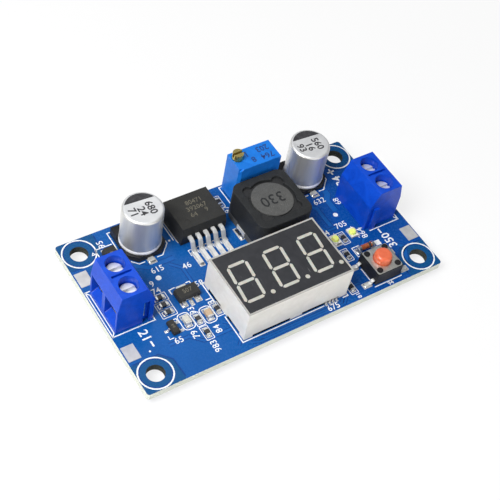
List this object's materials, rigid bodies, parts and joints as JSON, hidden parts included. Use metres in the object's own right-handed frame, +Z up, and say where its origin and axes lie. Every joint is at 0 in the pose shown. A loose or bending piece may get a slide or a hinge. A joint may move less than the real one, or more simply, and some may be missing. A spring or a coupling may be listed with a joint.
{
  "type": "buck converter module",
  "caption": "Step-down converter board with screw terminals, display, button, trimmer, capacitors, shielded inductor and regulator.",
  "frame": {"origin": "centre of the board's outline, on the plane that the pin tails rest on", "axes": "+X from the input terminals to the output terminals, +Y from the display side to the trimmer side, +Z up out of the component side"},
  "size_m": [0.066, 0.036, 0.0145],
  "materials": {
    "board": "satin solder mask",
    "tinned_metal": "tinned",
    "terminal_blue": "satin",
    "screw_steel": "zinc plated",
    "guard_steel": "satin",
    "black_plastic": "matt",
    "can_aluminium": "satin",
    "epoxy": "matt",
    "ferrite": "matt",
    "winding": "enamelled",
    "trimmer_blue": "satin",
    "brass": "satin",
    "display_white": "satin",
    "display_dark": "satin",
    "segment": "translucent",
    "resistor": "glazed",
    "capacitor_tan": "matt",
    "switch_plate": "satin",
    "button_red": "gloss",
    "diode_glass": "clear",
    "led_lens": "gloss",
    "led_base": "satin"
  },
  "bodies": {
    "board": {"circuit_board": "board", "wire_pads": "tinned_metal", "solder_joints": "tinned_metal", "in_terminal_housing": "terminal_blue", "in_terminal_contacts": "tinned_metal", "out_terminal_housing": "terminal_blue", "out_terminal_contacts": "tinned_metal", "in_cap_base": "black_plastic", "in_cap_can": "can_aluminium", "in_cap_tabs": "tinned_metal", "out_cap_base": "black_plastic", "out_cap_can": "can_aluminium", "out_cap_tabs": "tinned_metal", "regulator_body": "epoxy", "regulator_tab": "tinned_metal", "regulator_leads": "tinned_metal", "inductor_core": "ferrite", "inductor_winding": "winding", "inductor_shield": "ferrite", "inductor_clips": "tinned_metal", "trimmer_body": "trimmer_blue", "trimmer_pins": "tinned_metal", "display_housing": "display_white", "display_face": "display_dark", "display_segments": "segment", "display_pins": "tinned_metal", "controller_body": "epoxy", "controller_leads": "tinned_metal", "resistor_array_bodies": "resistor", "resistor_array_ends": "tinned_metal", "switch_base": "black_plastic", "switch_cover": "switch_plate", "switch_dome": "switch_plate", "switch_legs": "tinned_metal", "power_diode_body": "epoxy", "power_diode_leads": "tinned_metal", "glass_diode_tube": "diode_glass", "glass_diode_caps": "tinned_metal", "ldo_body": "epoxy", "ldo_leads": "tinned_metal", "transistor_body": "epoxy", "transistor_leads": "tinned_metal", "chip_resistor_bodies": "resistor", "chip_resistor_ends": "tinned_metal", "chip_capacitor_bodies": "capacitor_tan", "chip_capacitor_ends": "tinned_metal", "led_lenses": "led_lens", "led_bases": "led_base"},
    "in_plus_guard": {"in_plus_guard": "guard_steel"},
    "in_minus_guard": {"in_minus_guard": "guard_steel"},
    "out_plus_guard": {"out_plus_guard": "guard_steel"},
    "out_minus_guard": {"out_minus_guard": "guard_steel"},
    "in_plus_screw": {"in_plus_screw": "screw_steel"},
    "in_minus_screw": {"in_minus_screw": "screw_steel"},
    "out_plus_screw": {"out_plus_screw": "screw_steel"},
    "out_minus_screw": {"out_minus_screw": "screw_steel"},
    "trimmer_screw": {"trimmer_screw": "brass"},
    "switch_button": {"switch_button": "button_red"}
  },
  "joints": [
    {"name": "in_plus_guard_slide", "type": "slide", "parent": "board", "child": "in_plus_guard", "axis": [0, 0, 1], "range_m": [-0.00045, 0.0017]},
    {"name": "in_plus_screw_turn", "type": "hinge", "parent": "in_plus_guard", "child": "in_plus_screw", "pos_m": [-0.02867, 0.0032, 0.0065], "axis": [0, 0, 1], "range_deg": [-325, 1225]},
    {"name": "in_minus_guard_slide", "type": "slide", "parent": "board", "child": "in_minus_guard", "axis": [0, 0, 1], "range_m": [-0.00045, 0.0017]},
    {"name": "in_minus_screw_turn", "type": "hinge", "parent": "in_minus_guard", "child": "in_minus_screw", "pos_m": [-0.02867, -0.0018, 0.0065], "axis": [0, 0, 1], "range_deg": [-325, 1225]},
    {"name": "out_plus_guard_slide", "type": "slide", "parent": "board", "child": "out_plus_guard", "axis": [0, 0, 1], "range_m": [-0.00045, 0.0017]},
    {"name": "out_plus_screw_turn", "type": "hinge", "parent": "out_plus_guard", "child": "out_plus_screw", "pos_m": [0.02768, 0.0032, 0.0065], "axis": [0, 0, 1], "range_deg": [-325, 1225]},
    {"name": "out_minus_guard_slide", "type": "slide", "parent": "board", "child": "out_minus_guard", "axis": [0, 0, 1], "range_m": [-0.00045, 0.0017]},
    {"name": "out_minus_screw_turn", "type": "hinge", "parent": "out_minus_guard", "child": "out_minus_screw", "pos_m": [0.02768, -0.0018, 0.0065], "axis": [0, 0, 1], "range_deg": [-325, 1225]},
    {"name": "trimmer_screw_turn", "type": "hinge", "parent": "board", "child": "trimmer_screw", "pos_m": [0.00451, 0.0156, 0.0131], "axis": [0, 0, 1], "continuous": true},
    {"name": "button_press", "type": "slide", "parent": "board", "child": "switch_button", "axis": [0, 0, 1], "range_m": [-0.00025, 0], "stiffness_N_per_m": 6000, "springref_m": 0.0001}
  ],
  "couplings": [
    {"joint": "in_plus_screw_turn", "follows": "in_plus_guard_slide", "rad_per_m": 12566},
    {"joint": "in_minus_screw_turn", "follows": "in_minus_guard_slide", "rad_per_m": 12566},
    {"joint": "out_plus_screw_turn", "follows": "out_plus_guard_slide", "rad_per_m": 12566},
    {"joint": "out_minus_screw_turn", "follows": "out_minus_guard_slide", "rad_per_m": 12566}
  ]
}
